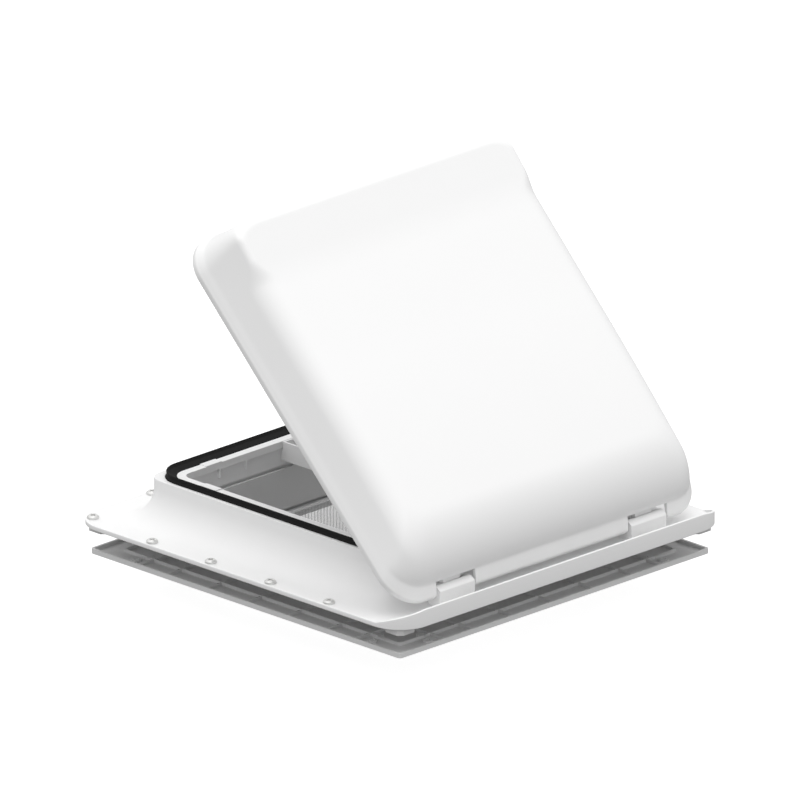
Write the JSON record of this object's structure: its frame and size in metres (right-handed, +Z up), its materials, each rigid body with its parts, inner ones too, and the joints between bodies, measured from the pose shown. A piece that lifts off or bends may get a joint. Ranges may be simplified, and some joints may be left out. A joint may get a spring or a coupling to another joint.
{
  "type": "deck hatch",
  "caption": "Square roof and deck vent hatch: hinged domed lid, flanged frame with raised curb, clamp-in trim frame, flyscreen and worm-crank lift.",
  "frame": {"origin": "centre of the roof cut-out, on the panel's top face, where the flange's underside rests", "axes": "+Z up out of the roof, +Y from the hinge side to the free side, X along the hinge line"},
  "size_m": [0.4, 0.4, 0.3638],
  "materials": {
    "shell_plastic": "white injection-moulded ABS, satin gloss",
    "trim_plastic": "off-white moulded plastic, fine matt texture",
    "seal_rubber": "black EPDM extrusion, matt",
    "stainless": "bright stainless fasteners and pins",
    "plated_steel": "zinc-plated pressed steel",
    "zinc_casting": "matt grey zinc-alloy die casting",
    "bronze": "machined bronze",
    "acetal": "natural acetal, low friction",
    "screen_fibre": "grey coated fibreglass mesh"
  },
  "bodies": {
    "frame": {"outer_frame": "shell_plastic", "corner_spacers": "shell_plastic", "flange_screws": "stainless", "curb_seal": "seal_rubber", "inner_collar": "trim_plastic", "crossbar": "trim_plastic", "crossbar_screws": "stainless", "hinge_block_left": "shell_plastic", "hinge_block_right": "shell_plastic", "hinge_pin_left": "stainless", "hinge_pin_right": "stainless", "hinge_block_screws": "stainless", "trim_frame": "trim_plastic", "screen_frame": "trim_plastic", "screen_mesh": "screen_fibre", "screen_clips": "trim_plastic", "screen_grommet": "trim_plastic", "gearbox_housing": "zinc_casting", "gearbox_cover": "zinc_casting", "gearbox_screws": "stainless", "worm_bushes": "acetal", "arm_bushes": "acetal"},
    "lid": {"lid_shell": "shell_plastic", "lid_hinge_left": "shell_plastic", "lid_hinge_right": "shell_plastic", "lid_rail": "plated_steel", "lid_rail_screws": "stainless"},
    "arm": {"arm_shaft": "stainless", "worm_wheel": "bronze", "lift_arm": "plated_steel"},
    "roller": {"arm_roller_pin": "stainless", "arm_rollers": "acetal"},
    "crank": {"worm_shaft": "stainless", "crank_arm": "trim_plastic", "crank_screw": "stainless", "knob_pin": "stainless"},
    "knob": {"crank_knob": "trim_plastic"}
  },
  "joints": [
    {"name": "lid_hinge", "type": "hinge", "parent": "frame", "child": "lid", "pos_m": [0, -0.1785, 0.0172], "axis": [1, 0, 0], "range_deg": [-45, 0]},
    {"name": "arm_pivot", "type": "hinge", "parent": "frame", "child": "arm", "pos_m": [0, -0.0385, 0.012], "axis": [1, 0, 0], "range_deg": [-90, 0]},
    {"name": "crank_spin", "type": "hinge", "parent": "frame", "child": "crank", "pos_m": [0.0049, -0.06, -0.03], "axis": [0, 0, 1], "range_deg": [-2160, 0]},
    {"name": "roller_spin", "type": "hinge", "parent": "arm", "child": "roller", "pos_m": [0, -0.07506, 0.14724], "axis": [1, 0, 0], "continuous": true},
    {"name": "knob_spin", "type": "hinge", "parent": "crank", "child": "knob", "pos_m": [0.0049, -0.016, -0.05], "axis": [0, 0, 1], "continuous": true}
  ],
  "couplings": [
    {"joint": "arm_pivot", "follows": "lid_hinge", "ratio": 2},
    {"joint": "crank_spin", "follows": "lid_hinge", "ratio": 48}
  ]
}
